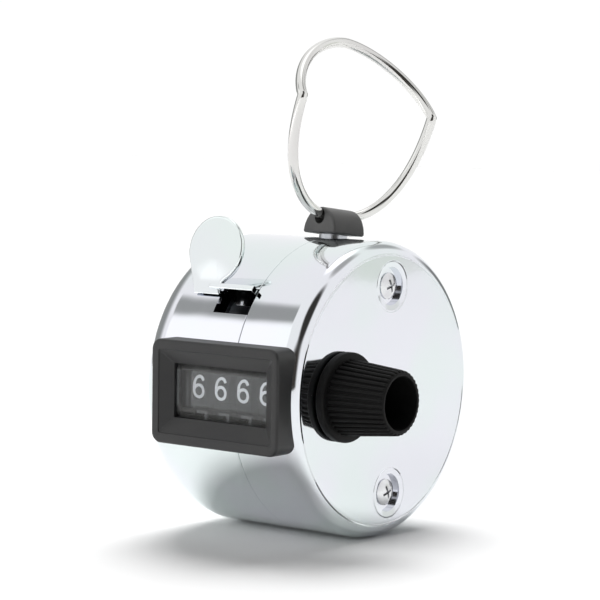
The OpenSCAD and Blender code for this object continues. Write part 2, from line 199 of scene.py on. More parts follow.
def moulded(name, light, dark, rough, gloss=0.5, grain_mm=0.004, drawn=1.0, glow=0.0):
    """Moulded plastic with a fine grain, drawn out along X where drawn is small; a glow above 0 makes it
    give off its own colour, a painted glow with no lamp behind it.
    """
    p = Paint(name)
    cloud = p.noise(140, 4.0)
    grain = p.noise(5200 * (0.6 + 0.4 * drawn), 2.0, (drawn, 1, 1))
    colour = p.mix(cloud.step(0.3, 0.7), dark, light)
    return p.solid({
        "Base Color": colour,
        "Emission Color": colour,
        "Emission Strength": glow,
        "Roughness": rough + cloud * 0.12 - 0.06,
        "Specular IOR Level": gloss,
        "Normal": p.bump(grain, grain_mm, 0.5),
    })


def clear_moulding(name, veil, veil_strength):
    """Clear window, more mirror-like at a slant, with a thin veil; the veil thickens in bands at its top and
    bottom bevel as painted sheen and shade, lightening the dark wheels and dimming the numerals seen through
    them.
    """
    p = Paint(name)
    smudge = p.noise(180, 4.0).step(0.3, 0.8)
    height = p.axis("Z")
    # Painted sheen and shade: thicker haze in bands at the top and bottom of the lens, set by height alone.
    painted_bevel_bands = height.step(3.2 * MM, 3.4 * MM) + (height * -1.0).step(2.2 * MM, 2.5 * MM)
    through = p.node("ShaderNodeBsdfTransparent", {"Color": (0.93, 0.95, 0.96, 1)})
    haze = p.node("ShaderNodeBsdfDiffuse", {"Color": veil, "Roughness": 0.5})
    shine = p.node("ShaderNodeBsdfGlossy", {"Color": (1, 1, 1, 1), "Roughness": smudge * 0.08 + 0.03})
    slant = p.node("ShaderNodeFresnel", {"IOR": 1.45})
    cover = smudge * 0.05 + painted_bevel_bands * 0.42 + veil_strength
    veiled = p.node("ShaderNodeMixShader", {0: cover, 1: through, 2: haze})
    return p.surface(p.node("ShaderNodeMixShader", {0: slant * 0.7, 1: veiled, 2: shine}))


def shade(red, green=None, blue=None):
    """A colour; one number gives a grey."""
    return (red, red, red, 1) if green is None else (red, green, blue, 1)


FINISHES = {
    "chrome_shell": plated(
        "chrome_shell", shade(0.74, 0.80, 0.80), shade(0.77, 0.78, 0.83), 0.06,
        wave_mm=0.10, crown_x=(DRUM_W - 0.02) * MM,
    ),
    "black_bezel": moulded(
        "black_bezel", shade(0.016), shade(0.010, 0.010, 0.011), 0.42, 0.5, 0.012, 0.05,
    ),
    "clear_lens": clear_moulding("clear_lens", shade(0.075, 0.075, 0.073), 0.20),
    "frame_steel": plated("frame_steel", shade(0.60, 0.62, 0.65), shade(0.50, 0.51, 0.54), 0.28, 0.6),
    "plated_screw": plated(
        "plated_screw", shade(0.78, 0.79, 0.80), shade(0.66, 0.66, 0.68), 0.16, 0.5, 400,
    ),
    "spring_steel": plated("spring_steel", shade(0.48, 0.48, 0.50), shade(0.36, 0.36, 0.38), 0.3, 0.6),
    "wheel_black": moulded("wheel_black", shade(0.022, 0.022, 0.024), shade(0.014, 0.014, 0.016), 0.5, 0.3),
    "gear_brass": plated("gear_brass", shade(0.72, 0.55, 0.24), shade(0.60, 0.43, 0.17), 0.3, 0.6),
    "pinion_nylon": moulded("pinion_nylon", shade(0.74, 0.72, 0.64), shade(0.64, 0.61, 0.53), 0.5),
    "chrome_lever": plated(
        "chrome_lever", shade(0.78, 0.84, 0.83), shade(0.79, 0.82, 0.84), 0.07, wave_mm=0.06,
    ),
    "knob_plastic": moulded("knob_plastic", shade(0.008), shade(0.005), 0.5, 0.12, 0.002),
    "block_plastic": moulded("block_plastic", shade(0.095, 0.094, 0.092), shade(0.066), 0.46, 0.5),
    "ring_wire": plated("ring_wire", shade(0.74, 0.74, 0.72), shade(0.66, 0.65, 0.64), 0.09),
}
# The numerals are white paint that also glows (glow 0.66): painted light standing in for the light that does
# not reach them inside the window.
NUMERAL_PAINT_AND_GLOW = moulded(
    "numeral_paint", shade(0.92, 0.92, 0.94), shade(0.84, 0.84, 0.87), 0.55, glow=0.66,
)


# ---- mesh making ----


def shown(name, mesh):
    obj = bpy.data.objects.new(name, mesh)
    bpy.context.scene.collection.objects.link(obj)
    return obj


def mesh_from(name, points, faces):
    """A closed mesh from points in millimetres, faces turned outward."""
    mesh = bpy.data.meshes.new(name)
    mesh.from_pydata([Vector(p) * MM for p in points], [], faces)
    work = bmesh.new()
    work.from_mesh(mesh)
    bmesh.ops.remove_doubles(work, verts=work.verts, dist=2e-7)
    bmesh.ops.dissolve_degenerate(work, edges=work.edges, dist=1e-7)
    bmesh.ops.recalc_face_normals(work, faces=work.faces)
    work.to_mesh(mesh)
    work.free()
    return mesh


def plain(obj):
    """The object with its modifiers worked into its mesh."""
    bpy.context.view_layer.update()
    graph = bpy.context.evaluated_depsgraph_get()
    mesh = bpy.data.meshes.new_from_object(obj.evaluated_get(graph), depsgraph=graph)
    obj.modifiers.clear()
    old = obj.data
    obj.data = mesh
    bpy.data.meshes.remove(old)
    return obj


def gone(obj):
    old = obj.data
    bpy.data.objects.remove(obj)
    bpy.data.meshes.remove(old)


def tidied(obj, merge, flat_degrees=0.0):
    """Merges close points and, if asked, joins faces that lie in one plane."""
    work = bmesh.new()
    work.from_mesh(obj.data)
    bmesh.ops.remove_doubles(work, verts=work.verts, dist=merge)
    if flat_degrees:
        limit = math.radians(flat_degrees)
        bmesh.ops.dissolve_limit(work, angle_limit=limit, verts=work.verts, edges=work.edges)
    work.to_mesh(obj.data)
    work.free()


def combined(obj, others, operation="DIFFERENCE"):
    """Cuts other solids out of a piece or adds them, one by one, worked out in millimetres for accuracy."""
    obj.data.transform(Matrix.Scale(1 / MM, 4))
    tidied(obj, 1e-4, 0.1)
    for other in others:
        other.data.transform(Matrix.Scale(1 / MM, 4))
        step = obj.modifiers.new("step", "BOOLEAN")
        step.operation = operation
        step.solver = "EXACT"
        step.object = other
        plain(obj)
        gone(other)
    tidied(obj, 5e-4)
    obj.data.transform(Matrix.Scale(MM, 4))
    return obj


def shaded(obj, corner=30.0):
    """Smooth shading up to the corner angle, with large faces kept flat."""
    obj.data.shade_smooth()
    obj.data.set_sharp_from_angle(angle=math.radians(corner))
    even = obj.modifiers.new("even", "WEIGHTED_NORMAL")
    even.mode = "FACE_AREA"
    even.keep_sharp = True
    return plain(obj)


def finished(obj, body, replaced, slot, material=None):
    """Gives a piece its material and body, in place of the CAD nodes it stands for."""
    obj.data.materials.clear()
    obj.data.materials.append(material or FINISHES[slot])
    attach(obj, body)
    if replaced:
        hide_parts(*replaced)
    return obj


def loft(name, loops, closed):
    """Skins equal loops of points; a closed loft joins the last loop to the first."""
    count = len(loops[0])
    points = [p for loop in loops for p in loop]
    faces = []
    for i in range(len(loops) if closed else len(loops) - 1):
        here, there = i * count, (i + 1) % len(loops) * count
        for k in range(count):
            k2 = (k + 1) % count
            faces.append((here + k, here + k2, there + k2, there + k))
    if not closed:
        faces.append(tuple(range(count)))
        faces.append(tuple(range((len(loops) - 1) * count, len(loops) * count)))
    return mesh_from(name, points, faces)


def turned(name, profile, axis=(0.0, 0.0), steps=96):
    """Turns an (x, radius) profile about a line along X at [y, z]; profile ends lie on the axis or meet."""
    points, faces, rows = [], [], []
    for x, r in profile:
        row = []
        for k in range(1 if r < 1e-6 else steps):
            a = 2 * math.pi * k / steps
            row.append(len(points))
            points.append((x, axis[0] - r * math.sin(a), axis[1] + r * math.cos(a)))
        rows.append(row)
    pairs = list(zip(rows, rows[1:]))
    if profile[0][1] > 1e-6:
        pairs.append((rows[-1], rows[0]))
    for one, two in pairs:
        for k in range(steps):
            k2 = (k + 1) % steps
            corner = [one[k % len(one)], one[k2 % len(one)], two[k2 % len(two)], two[k % len(two)]]
            face = list(dict.fromkeys(corner))
            if len(face) > 2:
                faces.append(face)
    return mesh_from(name, points, faces)


def arc(cx, cr, radius, start, end, steps):
    """Points of a quarter-round in an (x, radius) profile, in degrees from +x towards +radius."""
    turns = [math.radians(start + (end - start) * i / steps) for i in range(steps + 1)]
    return [(cx + radius * math.cos(t), cr + radius * math.sin(t)) for t in turns]


def prism(name, outline, x1, x2):
    """A straight bar along X with a [y, z] outline."""
    return loft(name, [[(x, y, z) for y, z in outline] for x in (x1, x2)], False)


def polar(r, degrees):
    """[y, z] at a radius and an angle forward of the top."""
    a = math.radians(degrees)
    return (-r * math.sin(a), r * math.cos(a))


def moved(mesh, matrix):
    """A mesh in millimetre space moved by a matrix whose shifts are in millimetres."""
    shift = Matrix.Translation(matrix.to_translation() * MM)
    mesh.transform(shift @ matrix.to_3x3().to_4x4())
    return mesh


def joined(name, meshes):
    work = bmesh.new()
    for mesh in meshes:
        work.from_mesh(mesh)
        bpy.data.meshes.remove(mesh)
    whole = bpy.data.meshes.new(name)
    work.to_mesh(whole)
    work.free()
    return whole


# ---- the two cups of the drum ----

BLOCK_SEAT = (
    Matrix.Translation((17.8, 0, 0))
    @ Matrix.Rotation(math.radians(-8), 4, "X")
    @ Matrix.Translation((0, 0, DRUM_R))
    @ Matrix.Rotation(math.radians(75), 4, "Z")
)
SEAM_LIP = 0.12
SEAM_GAP = 0.02


def upright(name, radius, z1, z2, matrix, steps=64):
    """A cylinder along a matrix's own Z."""
    loops = []
    for z in (z1, z2):
        turns = [2 * math.pi * k / steps for k in range(steps)]
        loops.append([(radius * math.cos(t), radius * math.sin(t), z) for t in turns])
    return shown(name, moved(loft(name, loops, False), matrix))


def along(name, radius, x1, x2, axis, steps=64):
    return shown(name, turned(name, [(x1, 0), (x1, radius), (x2, radius), (x2, 0)], axis, steps))


def window_cutter():
    x1, x2, z1, z2 = WINDOW
    outline = [(-30, z1 - 0.1), (-15, z1 - 0.1), (-15, z2 + 0.1), (-30, z2 + 0.1)]
    return shown("window_cutter", prism("window_cutter", outline, x1 - 0.1, x2 + 0.1))


def bushing_cutter():
    return upright("bushing_cutter", BUSHING_R, -4, 3, BLOCK_SEAT)


def cup_profile(end_x, edge_r, rim_x, toward_rim):
    """Outer skin from the axis to the rim, then the inner skin back to the axis."""
    s = toward_rim
    inner_edge = edge_r - WALL
    start = 180 if s > 0 else 0
    outer = [(end_x, 0), (end_x, DRUM_R - edge_r - 0.4)]
    outer += arc(end_x + s * edge_r, DRUM_R - edge_r, edge_r, start, 90, 16)
    lip = arc(rim_x - s * (SEAM_LIP + SEAM_GAP), DRUM_R - SEAM_LIP, SEAM_LIP, 90, 0 if s > 0 else 180, 4)
    inner = [(rim_x - s * SEAM_GAP, DRUM_R - WALL)]
    inner += arc(end_x + s * edge_r, DRUM_R - edge_r, inner_edge, 90, start, 12)
    inner += [(end_x + s * WALL, 0)]
    return outer + lip + inner


def left_cup():
    cup = shown("case_left_cup", turned("case_left_cup", cup_profile(0, LEFT_EDGE_R, SEAM_X, 1), steps=240))
    wedge = [(0, 0), polar(40, SLOT_TOP), polar(40, SLOT_BOTTOM)]
    slot_cutter = shown("slot_cutter", prism("slot_cutter", wedge, SLOT_X, SEAM_X + 1))
    combined(cup, [window_cutter(), bushing_cutter(), slot_cutter])
    return finished(shaded(cup), "case", ["left_shell"], "chrome_shell")


def seat_boss(z):
    """Thicker metal behind a screw seat."""
    return along("seat_boss", 4.6, DRUM_W - 1.9, DRUM_W - WALL / 2, (SCREW_Y, z))


def seat_cutter(z):
    """Shallow dish, flat-bottomed seat and screw hole, in one turned cutter."""
    ball_r = 18.0
    bottom = DRUM_W - SEAT_DEPTH
    reach = [DISH_R - (DISH_R - SEAT_R) * i / 15 for i in range(16)]
    dish = [(DRUM_W - DISH_DEPTH + ball_r - math.sqrt(ball_r * ball_r - r * r), r) for r in reach]
    profile = [(DRUM_W + 1, 0), (DRUM_W + 1, DISH_R)] + dish
    profile += [(bottom, SEAT_R), (bottom, SCREW_HOLE_R), (DRUM_W - 3, SCREW_HOLE_R), (DRUM_W - 3, 0)]
    return shown("seat_cutter", turned("seat_cutter", profile, (SCREW_Y, z), 96))


def right_cup():
    profile = cup_profile(DRUM_W, RIGHT_EDGE_R, SEAM_X, -1)
    cup = shown("case_right_cup", turned("case_right_cup", profile, steps=240))
    combined(cup, [seat_boss(SCREW_Z), seat_boss(-SCREW_Z)], "UNION")
    shaft_hole = along("shaft_hole", SHAFT_HOLE_R, DRUM_W - 2, DRUM_W + 1, WHEEL_AXIS)
    cutters = [window_cutter(), bushing_cutter(), seat_cutter(SCREW_Z), seat_cutter(-SCREW_Z), shaft_hole]
    combined(cup, cutters)
    return finished(shaded(cup), "case", ["right_shell"], "chrome_shell")


# ---- window frame ----


def drum_surface(x, z):
    """How far the drum reaches towards the front at a point of its wall."""
    inset = max(0.0, x - (DRUM_W - RIGHT_EDGE_R))
    r = DRUM_R - RIGHT_EDGE_R + math.sqrt(max(0.0, RIGHT_EDGE_R**2 - inset**2))
    return -math.sqrt(r * r - z * z)


def outline_loop(box, corner, inset, y):
    """A rounded rectangle facing the front; y is a depth or a rule for it."""
    x1, x2, z1, z2 = box[0] + inset, box[1] - inset, box[2] + inset, box[3] - inset
    r = max(corner - inset, 0.05)
    middles = [(x2 - r, z2 - r), (x1 + r, z2 - r), (x1 + r, z1 + r), (x2 - r, z1 + r)]
    ring = []
    for q, (cx, cz) in enumerate(middles):
        for i in range(7):
            a = math.radians(90 * q + 15 * i)
            ring.append((cx + r * math.cos(a), cz + r * math.sin(a)))
        nx, nz = middles[(q + 1) % 4]
        a = math.radians(90 * (q + 1))
        end = (nx + r * math.cos(a), nz + r * math.sin(a))
        for i in range(1, 12):
            t = i / 12
            ring.append((ring[-i][0] * (1 - t) + end[0] * t, ring[-i][1] * (1 - t) + end[1] * t))
    return [(x, y(x, z) if callable(y) else y, z) for x, z in ring]


def window_frame():
    edge, rim = 0.36, 0.18
    corner, pocket_corner, opening_corner = 1.6, 0.35, 0.2
    undercut = -1.0
    loops = [
        outline_loop(WINDOW, 0.4, 0, PLUG_Y),
        outline_loop(WINDOW, 0.4, 0, drum_surface),
        outline_loop(BEZEL, corner, 0, drum_surface),
        outline_loop(BEZEL, corner, 0, BEZEL_Y + edge * 1.6),
    ]
    for t in (0, 22.5, 45, 67.5, 90):
        a = math.radians(t)
        y = BEZEL_Y + edge * (1 - math.sin(a))
        loops.append(outline_loop(BEZEL, corner, edge * (1 - math.cos(a)), y))
    for t in (0, 30, 60, 90):
        a = math.radians(t)
        y = BEZEL_Y + rim * (1 - math.cos(a))
        loops.append(outline_loop(POCKET, pocket_corner, -rim * (1 - math.sin(a)), y))
    opening = [(-0.06, APERTURE_Y - 0.03), (0, APERTURE_Y + 0.05), (0, LENS_Y)]
    for inset, y in opening + [(undercut, LENS_Y), (undercut, PLUG_Y)]:
        loops.append(outline_loop(APERTURE, opening_corner, inset, y))
    bezel = shown("window_frame", loft("window_frame", loops, True))
    return finished(shaded(bezel, 28), "case", ["window_bezel"], "black_bezel")


# ---- numerals ----

NUMERAL_STROKE = 0.46
NUMERAL_SCALE = 0.88
NUMERAL_TURN = 3.5
SHOWN_NUMBER = 6


def bow(x, y, wide, high, start, end, steps=32):
    """Points of an oval stroke, in degrees from +x."""
    turns = [math.radians(start + (end - start) * i / steps) for i in range(steps + 1)]
    return [(x + wide * math.cos(t), y + high * math.sin(t)) for t in turns]


def straight(*corners):
    """Points along straight strokes, close enough together to bend round the wheel."""
    points = [corners[0]]
    for here, there in zip(corners, corners[1:]):
        steps = max(1, round(math.dist(here, there) / 0.3))
        for i in range(1, steps + 1):
            t = i / steps
            points.append((here[0] * (1 - t) + there[0] * t, here[1] * (1 - t) + there[1] * t))
    return points


SIX = bow(0, 0.45, 1.02, 1.31, 28, 180)
SIX += straight((-1.02, 0.4), (-1.02, -0.7)) + bow(0, -0.74, 1.02, 1.02, 182, 532)
NUMERAL_STROKES = (
    (bow(0, 0, 1.02, 1.76, 0, 360),),
    (straight((-0.5, 1.15), (0.05, 1.76), (0.05, -1.76)),),
    (bow(0, 0.8, 1.0, 0.96, 165, -28) + straight((0.8, 0.25), (-1.02, -1.76), (1.02, -1.76)),),
    (bow(0, 0.9, 0.9, 0.86, 150, -85), bow(0, -0.85, 1.02, 0.91, 95, -150)),
    (straight((0.45, -1.76), (0.45, 1.76), (-1.02, -0.75), (1.02, -0.75)),),
    (straight((0.85, 1.76), (-0.72, 1.76), (-0.88, 0.1)) + bow(0, -0.62, 1.02, 1.14, 135, -150),),
    (SIX,),
    (straight((-1.02, 1.76), (1.02, 1.76), (-0.35, -1.76)),),
    (bow(0, 0.9, 0.86, 0.86, 0, 360), bow(0, -0.86, 1.02, 0.9, 0, 360)),
    ([(-x, -y) for x, y in SIX],),
)


def stroke_mesh(line, x, turn):
    """One raised stroke of a numeral, wrapped round its wheel."""
    closed = math.dist(line[0], line[-1]) < 1e-6
    line = [Vector(p) * NUMERAL_SCALE for p in (line[:-1] if closed else line)]
    last = len(line) - 1
    loops = []
    for i, here in enumerate(line):
        into = (here - line[i - 1]).normalized() if closed or i else Vector((0, 0))
        out = (line[(i + 1) % len(line)] - here).normalized() if closed or i < last else Vector((0, 0))
        mitre = min(2 / (into + out).length, 1.5) if into.length and out.length else 1.0
        heading = (into + out).normalized() * NUMERAL_STROKE / 2 * mitre
        loop = []
        for side, height in ((1, 0.01), (-1, 0.01), (-1, 0.04), (1, 0.04)):
            a = math.radians(turn) + (here.y + side * heading.x) / WHEEL_R
            r = WHEEL_R + height
            loop.append((
                x + here.x - side * heading.y,
                WHEEL_AXIS[0] - r * math.cos(a),
                WHEEL_AXIS[1] + r * math.sin(a),
            ))
        loops.append(loop)
    return loft("stroke", loops, closed)


def numerals():
    for wheel, x in zip(("thousands", "hundreds", "tens", "units"), WHEEL_X):
        strokes = []
        for number, lines in enumerate(NUMERAL_STROKES):
            turn = NUMERAL_TURN + 36 * (SHOWN_NUMBER - number)
            strokes += [stroke_mesh(line, x, turn) for line in lines]
        band = shown(f"{wheel}_numerals", joined(f"{wheel}_numerals", strokes))
        band.data.shade_smooth()
        band.data.set_sharp_from_angle(angle=math.radians(40))
        finished(band, wheel, [], None, NUMERAL_PAINT_AND_GLOW)


# ---- thumb lever ----

PAD_SEAT = Matrix.Translation((10.7, -16.55, 21)) @ Matrix.Rotation(math.radians(79), 4, "X")
PAD_R = 5.15
NECK = (-2.9, 1.9)
NECK_FOOT = -6.86
FOOT_RISE = 1.68
FILLET_R = 1.5


def pad_outline():
    """Outline of the pad and its neck, from the neck's right foot round over the top."""
    fx = NECK[1] + FILLET_R
    fy = -math.sqrt((PAD_R + FILLET_R) ** 2 - fx * fx)
    meet = math.degrees(math.atan2(fy, fx))
    back = math.degrees(math.pi) + meet
    points = [(NECK[1], NECK_FOOT), (NECK[1], NECK_FOOT * 0.5 + fy * 0.5)]
    points += [
        (fx + FILLET_R * math.cos(math.radians(a)), fy + FILLET_R * math.sin(math.radians(a)))
        for a in [180 + (back - 180) * i / 8 for i in range(9)]
    ]
    first, last = meet, 194
    points += [
        (PAD_R * math.cos(math.radians(a)), PAD_R * math.sin(math.radians(a)))
        for a in [first + (last - first) * i / 110 for i in range(1, 111)]
    ]
    points += [
        (points[-1][0] + (NECK[0] - points[-1][0]) * t, points[-1][1] + (NECK_FOOT - points[-1][1]) * t)
        for t in (0.25, 0.5, 0.75)
    ]
    points.append((NECK[0], NECK_FOOT))
    return points


def inset_outline(points, inset):
    """Moves each point inward along the mean of its two edges' normals; the foot stays put."""
    moved_points = []
    for i, (x, y) in enumerate(points):
        bx, by = points[i - 1]
        nx, ny = points[(i + 1) % len(points)]
        dx, dy = nx - bx, ny - by
        size = math.hypot(dx, dy)
        moved_points.append((x - dy / size * inset, y + dx / size * inset))
    return moved_points


def dish_depth(x, y):
    """Shallow ball-shaped hollow in the pad's face."""
    ball_r, ball_lift = 42.0, 41.72
    out = x * x + y * y
    return min(0.0, ball_lift - math.sqrt(ball_r**2 - out)) if out < 26 else 0.0


def pad_sheet_mesh():
    """The dished pad: rounded edges front and back, a foot cut to clear the drum."""
    outline = pad_outline()
    edge, thick = 0.3, 1.0
    loops = []

    def level(inset, z, shrink=1.0):
        foot = NECK_FOOT - z * FOOT_RISE
        loop = []
        for x, y in inset_outline(outline, inset):
            x, y = x * shrink, y * shrink
            y = max(y, foot) if shrink > 0.97 else y
            loop.append((x, y, z if z < -0.3 else z + dish_depth(x, y)))
        loops.append(loop)

    level(1.2, -thick)
    level(edge, -thick)
    for t in (30, 60, 90):
        a = math.radians(t)
        level(edge * (1 - math.sin(a)), -thick + edge * (1 - math.cos(a)))
    for t in (0, 30, 60, 90):
        a = math.radians(t)
        level(edge * (1 - math.cos(a)), -edge * (1 - math.sin(a)))
    for shrink in (0.93, 0.86, 0.78, 0.68, 0.56, 0.42, 0.28, 0.14):
        level(edge, 0.0, shrink)
    return moved(loft("pad_sheet", loops, False), PAD_SEAT)


def strip_outline(p, q, t, steps=10):
    """[y, z] outline of a strip of sheet with round ends."""
    along_it = math.atan2(q[1] - p[1], q[0] - p[0])
    loop = []
    for centre, start in ((q, -90), (p, 90)):
        for i in range(steps + 1):
            a = along_it + math.radians(start + 180 * i / steps)
            loop.append((centre[0] + t / 2 * math.cos(a), centre[1] + t / 2 * math.sin(a)))
    return loop


def shoulder_mesh():
    """Rounded bar across the slot that joins the pad to its stem."""
    low, high, thick = 49.4, 47.1, 0.9
    places = ((HOVER_R, low), (HOVER_R + thick, low), (HOVER_R + thick, high), (HOVER_R, high))
    corners = [polar(r, degrees) for r, degrees in places]
    middle = [sum(c[i] for c in corners) / 4 for i in (0, 1)]
    loops = []
    for x, inset in ((10.7, 0.12), (10.82, 0.0), (19.03, 0.0), (19.15, 0.12)):
        loop = []
        for i, c in enumerate(corners):
            before, after = corners[i - 1], corners[(i + 1) % 4]
            for other in (before, after):
                size = math.hypot(other[0] - c[0], other[1] - c[1])
                t = 0.12 / size
                y, z = c[0] + (other[0] - c[0]) * t, c[1] + (other[1] - c[1]) * t
                loop.append((x, y + (middle[0] - y) * inset, z + (middle[1] - z) * inset))
        loops.append(loop)
    return loft("shoulder", loops, False)


def thumb_tab():
    lever_axis = (1.0, -0.8)
    knee = (-0.4, 12.2)
    inner = polar(19.6, 48.25)
    rivet = (-6.4, 4.9)
    tongue = (13.65, 19.15)
    pieces = [pad_sheet_mesh(), shoulder_mesh()]
    for p, q in ((polar(HOVER_R + 0.4, 48.25), inner), (inner, knee), (knee, lever_axis)):
        pieces.append(prism("stem", strip_outline(p, q, 0.8), *tongue))
    pieces.append(prism("arm", strip_outline(lever_axis, rivet, 2.4), 26.0, 26.8))
    hub = [(13.65, 1.05), (13.65, 1.8), (13.75, 1.9), (26.7, 1.9), (26.8, 1.8), (26.8, 1.05)]
    pieces.append(turned("hub", hub, lever_axis, 48))
    tab = shown("thumb_tab", joined("thumb_tab", pieces))
    return finished(shaded(tab, 35), "lever", ["thumb_lever"], "chrome_lever")


# ---- repeats and swept wire, as Geometry Nodes ----


def node_tree(name, inputs):
    """A new Geometry Nodes tree with named inputs and one geometry output."""
    tree = bpy.data.node_groups.new(name, "GeometryNodeTree")
    for label, kind in inputs:
        tree.interface.new_socket(label, in_out="INPUT", socket_type=kind)
    tree.interface.new_socket("Geometry", in_out="OUTPUT", socket_type="NodeSocketGeometry")
    return tree


def wire_up(tree, kind, sockets, **settings):
    made = tree.nodes.new(kind)
    for key, value in settings.items():
        setattr(made, key, value)
    for key, value in sockets.items():
        if isinstance(value, bpy.types.NodeSocket):
            tree.links.new(value, made.inputs[key])
        else:
            made.inputs[key].default_value = value
    return made


def painted_out(tree, shape, finish):
    """Ends a tree: gives the shape its material and sends it out."""
    painted = wire_up(tree, "GeometryNodeSetMaterial", {"Geometry": shape, "Material": finish}).outputs[0]
    tree.links.new(painted, tree.nodes.new("NodeGroupOutput").inputs[0])
    return tree


def repeat_tree():
    """Copies of a part turned about an X axis and shifted by equal steps, beside the piece's own mesh."""
    tree = node_tree("repeat_about_x", [
        ("Geometry", "NodeSocketGeometry"),
        ("Part", "NodeSocketObject"),
        ("Count", "NodeSocketInt"),
        ("Turn", "NodeSocketFloat"),
        ("Shift", "NodeSocketVector"),
        ("Centre", "NodeSocketVector"),
        ("Finish", "NodeSocketMaterial"),
    ])
    given = tree.nodes.new("NodeGroupInput").outputs
    index = wire_up(tree, "GeometryNodeInputIndex", {}).outputs[0]
    turn = wire_up(tree, "ShaderNodeMath", {0: index, 1: given["Turn"]}, operation="MULTIPLY").outputs[0]
    angles = wire_up(tree, "ShaderNodeCombineXYZ", {"X": turn}).outputs[0]
    along_shift = {0: given["Shift"], "Scale": index}
    step = wire_up(tree, "ShaderNodeVectorMath", along_shift, operation="SCALE").outputs[0]
    spot = wire_up(tree, "ShaderNodeVectorMath", {0: given["Centre"], 1: step}, operation="ADD").outputs[0]
    points = wire_up(tree, "GeometryNodePoints", {"Count": given["Count"], "Position": spot}).outputs[0]
    part = wire_up(tree, "GeometryNodeObjectInfo", {"Object": given["Part"]}).outputs["Geometry"]
    placed = {"Points": points, "Instance": part, "Rotation": angles}
    copies = wire_up(tree, "GeometryNodeInstanceOnPoints", placed)
    both = tree.nodes.new("GeometryNodeJoinGeometry")
    tree.links.new(copies.outputs[0], both.inputs[0])
    tree.links.new(given["Geometry"], both.inputs[0])
    real = wire_up(tree, "GeometryNodeRealizeInstances", {0: both.outputs[0]}).outputs[0]
    return painted_out(tree, real, given["Finish"])


def wire_tree():
    """A round wire swept along the piece's own line of edges."""
    tree = node_tree("swept_wire", [
        ("Geometry", "NodeSocketGeometry"),
        ("Radius", "NodeSocketFloat"),
        ("Sides", "NodeSocketInt"),
        ("Finish", "NodeSocketMaterial"),
    ])
    given = tree.nodes.new("NodeGroupInput").outputs
    line = wire_up(tree, "GeometryNodeMeshToCurve", {0: given["Geometry"]}).outputs[0]
    section = {"Resolution": given["Sides"], "Radius": given["Radius"]}
    ring = wire_up(tree, "GeometryNodeCurvePrimitiveCircle", section).outputs[0]
    sweep = {"Curve": line, "Profile Curve": ring, "Fill Caps": True}
    tube = wire_up(tree, "GeometryNodeCurveToMesh", sweep)
    real = wire_up(tree, "GeometryNodeRealizeInstances", {0: tube.outputs[0]}).outputs[0]
    return painted_out(tree, real, given["Finish"])


def run_tree(obj, tree, **values):
    """Puts a tree on a piece, sets its named inputs, and works it into a plain mesh."""
    modifier = obj.modifiers.new(tree.name, "NODES")
    modifier.node_group = tree
    for item in tree.interface.items_tree:
        if item.in_out == "INPUT" and item.name in values:
            modifier[item.identifier] = values[item.name]
    return plain(obj)


REPEAT = repeat_tree()
WIRE = wire_tree()


# ---- reset knob ----

FLANGE_X = (30.85, 32.25)
FLANGE_R = 6.7
TIP_X = 41.5
GRIP_R = (5.7, 4.8)
RIB_H = 0.35
RIB_COUNT = 36


def knob_profile():
    root, tip = GRIP_R[0] - RIB_H, GRIP_R[1] - RIB_H
    hollow = 3.95
    profile = [(34.5, 0), (34.5, hollow - 0.4)]
    profile += arc(34.9, hollow - 0.4, 0.4, 180, 90, 5)[1:]
    profile += [(TIP_X - 0.6, hollow)]
    profile += arc(TIP_X - 0.12, hollow + 0.12, 0.12, 270, 360, 4)
    profile += arc(TIP_X - 0.18, tip - 0.18, 0.18, 0, 90, 5)
    profile += [(FLANGE_X[1] + 1.2, root + (tip - root) * 0.13)]
    profile += arc(FLANGE_X[1] + 0.2, root + 0.18, 0.2, 270, 180, 5)
    profile += arc(FLANGE_X[1] - 0.35, FLANGE_R - 0.35, 0.35, 0, 90, 7)
    profile += arc(FLANGE_X[0] + 0.3, FLANGE_R - 0.3, 0.3, 90, 180, 6)
    profile += [(FLANGE_X[0], 1.2), (FLANGE_X[0] + 2, 1.2), (FLANGE_X[0] + 2, 0)]
    return profile


def rib_mesh():
    """One rounded rib, lying along the cone of the grip, about the origin."""
    loops = []
    start, end = FLANGE_X[1] - 0.05, TIP_X - 0.12
    half = ((0.30, 0), (0.28, 0.35), (0.22, 0.75), (0.12, 0.95))
    section = [(-a, h) for a, h in half] + [(0, 1)] + list(reversed(half))
    for t, height in ((0, 1.0), (0.5, 1.0), (0.955, 1.0), (0.975, 0.92), (0.99, 0.7), (1.0, 0.3)):
        x = start + (end - start) * t
        base = GRIP_R[0] + (GRIP_R[1] - GRIP_R[0]) * t - RIB_H - 0.15
        top = RIB_H * height
        loops.append([(x, a, base + 0.15 * (h > 0) + top * h) for a, h in section])
    return loft("rib", loops, False)


def ribbed_knob():
    rib = shown("rib", rib_mesh())
    knob = shown("ribbed_knob", turned("ribbed_knob", knob_profile(), WHEEL_AXIS, 144))
    centre = (0, WHEEL_AXIS[0] * MM, 0)
    turn = 2 * math.pi / RIB_COUNT
    run_tree(
        knob, REPEAT, Part=rib, Count=RIB_COUNT, Turn=turn, Shift=(0, 0, 0), Centre=centre,
        Finish=FINISHES["knob_plastic"],
    )
    gone(rib)
    return finished(shaded(knob, 50), "reset", ["reset_knob"], "knob_plastic")


# ---- case screws ----


